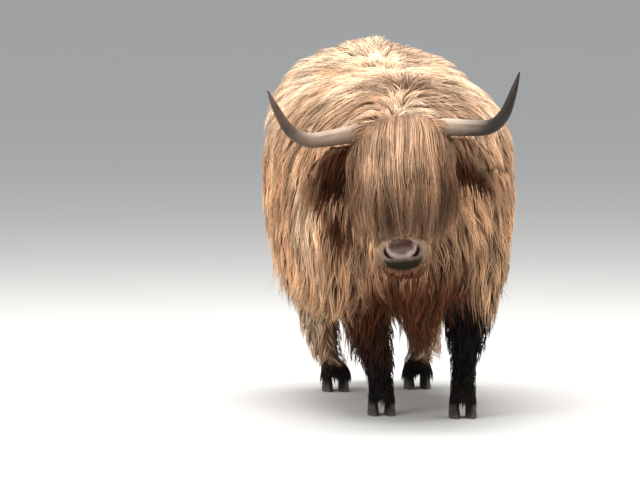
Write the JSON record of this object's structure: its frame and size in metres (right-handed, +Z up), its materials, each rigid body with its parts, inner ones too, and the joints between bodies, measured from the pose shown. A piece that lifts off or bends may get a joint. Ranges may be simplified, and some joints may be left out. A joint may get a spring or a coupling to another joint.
{
  "type": "highland cow",
  "caption": "Life-size highland cow standing with a lowered head, a long fringe over the eyes and upswept horns, modelled out to the tips of its shaggy coat.",
  "frame": {"origin": "middle of the underside of the whole cow's bounding box, at the level of the soles", "axes": "+Z up, the cow faces -Y and stands along Y, +X to the cow's own left"},
  "size_m": [0.989, 2.1868, 1.3138],
  "materials": {
    "coat": "long wavy tan hair",
    "dark_coat": "short black-brown leg hair",
    "bare_skin": "bare greyish-pink skin",
    "horn": "polished cream horn, darkening to the tips",
    "claw": "dark ringed hoof horn",
    "eye": "wet dark eye"
  },
  "bodies": {
    "root": {"ear_left": "coat", "ear_right": "coat", "eye_left": "eye", "eye_right": "eye", "foreleg_left": "coat", "foreleg_left_claw_left": "claw", "foreleg_left_claw_right": "claw", "foreleg_left_shank": "dark_coat", "foreleg_right": "coat", "foreleg_right_claw_left": "claw", "foreleg_right_claw_right": "claw", "foreleg_right_shank": "dark_coat", "forelock": "coat", "head": "coat", "hindleg_left": "coat", "hindleg_left_claw_left": "claw", "hindleg_left_claw_right": "claw", "hindleg_left_shank": "dark_coat", "hindleg_right": "coat", "hindleg_right_claw_left": "claw", "hindleg_right_claw_right": "claw", "hindleg_right_shank": "dark_coat", "horn_left": "horn", "horn_right": "horn", "muzzle": "bare_skin", "neck": "coat", "tail": "coat", "tail_switch": "coat", "trunk": "coat", "udder": "bare_skin"}
  },
  "joints": []
}
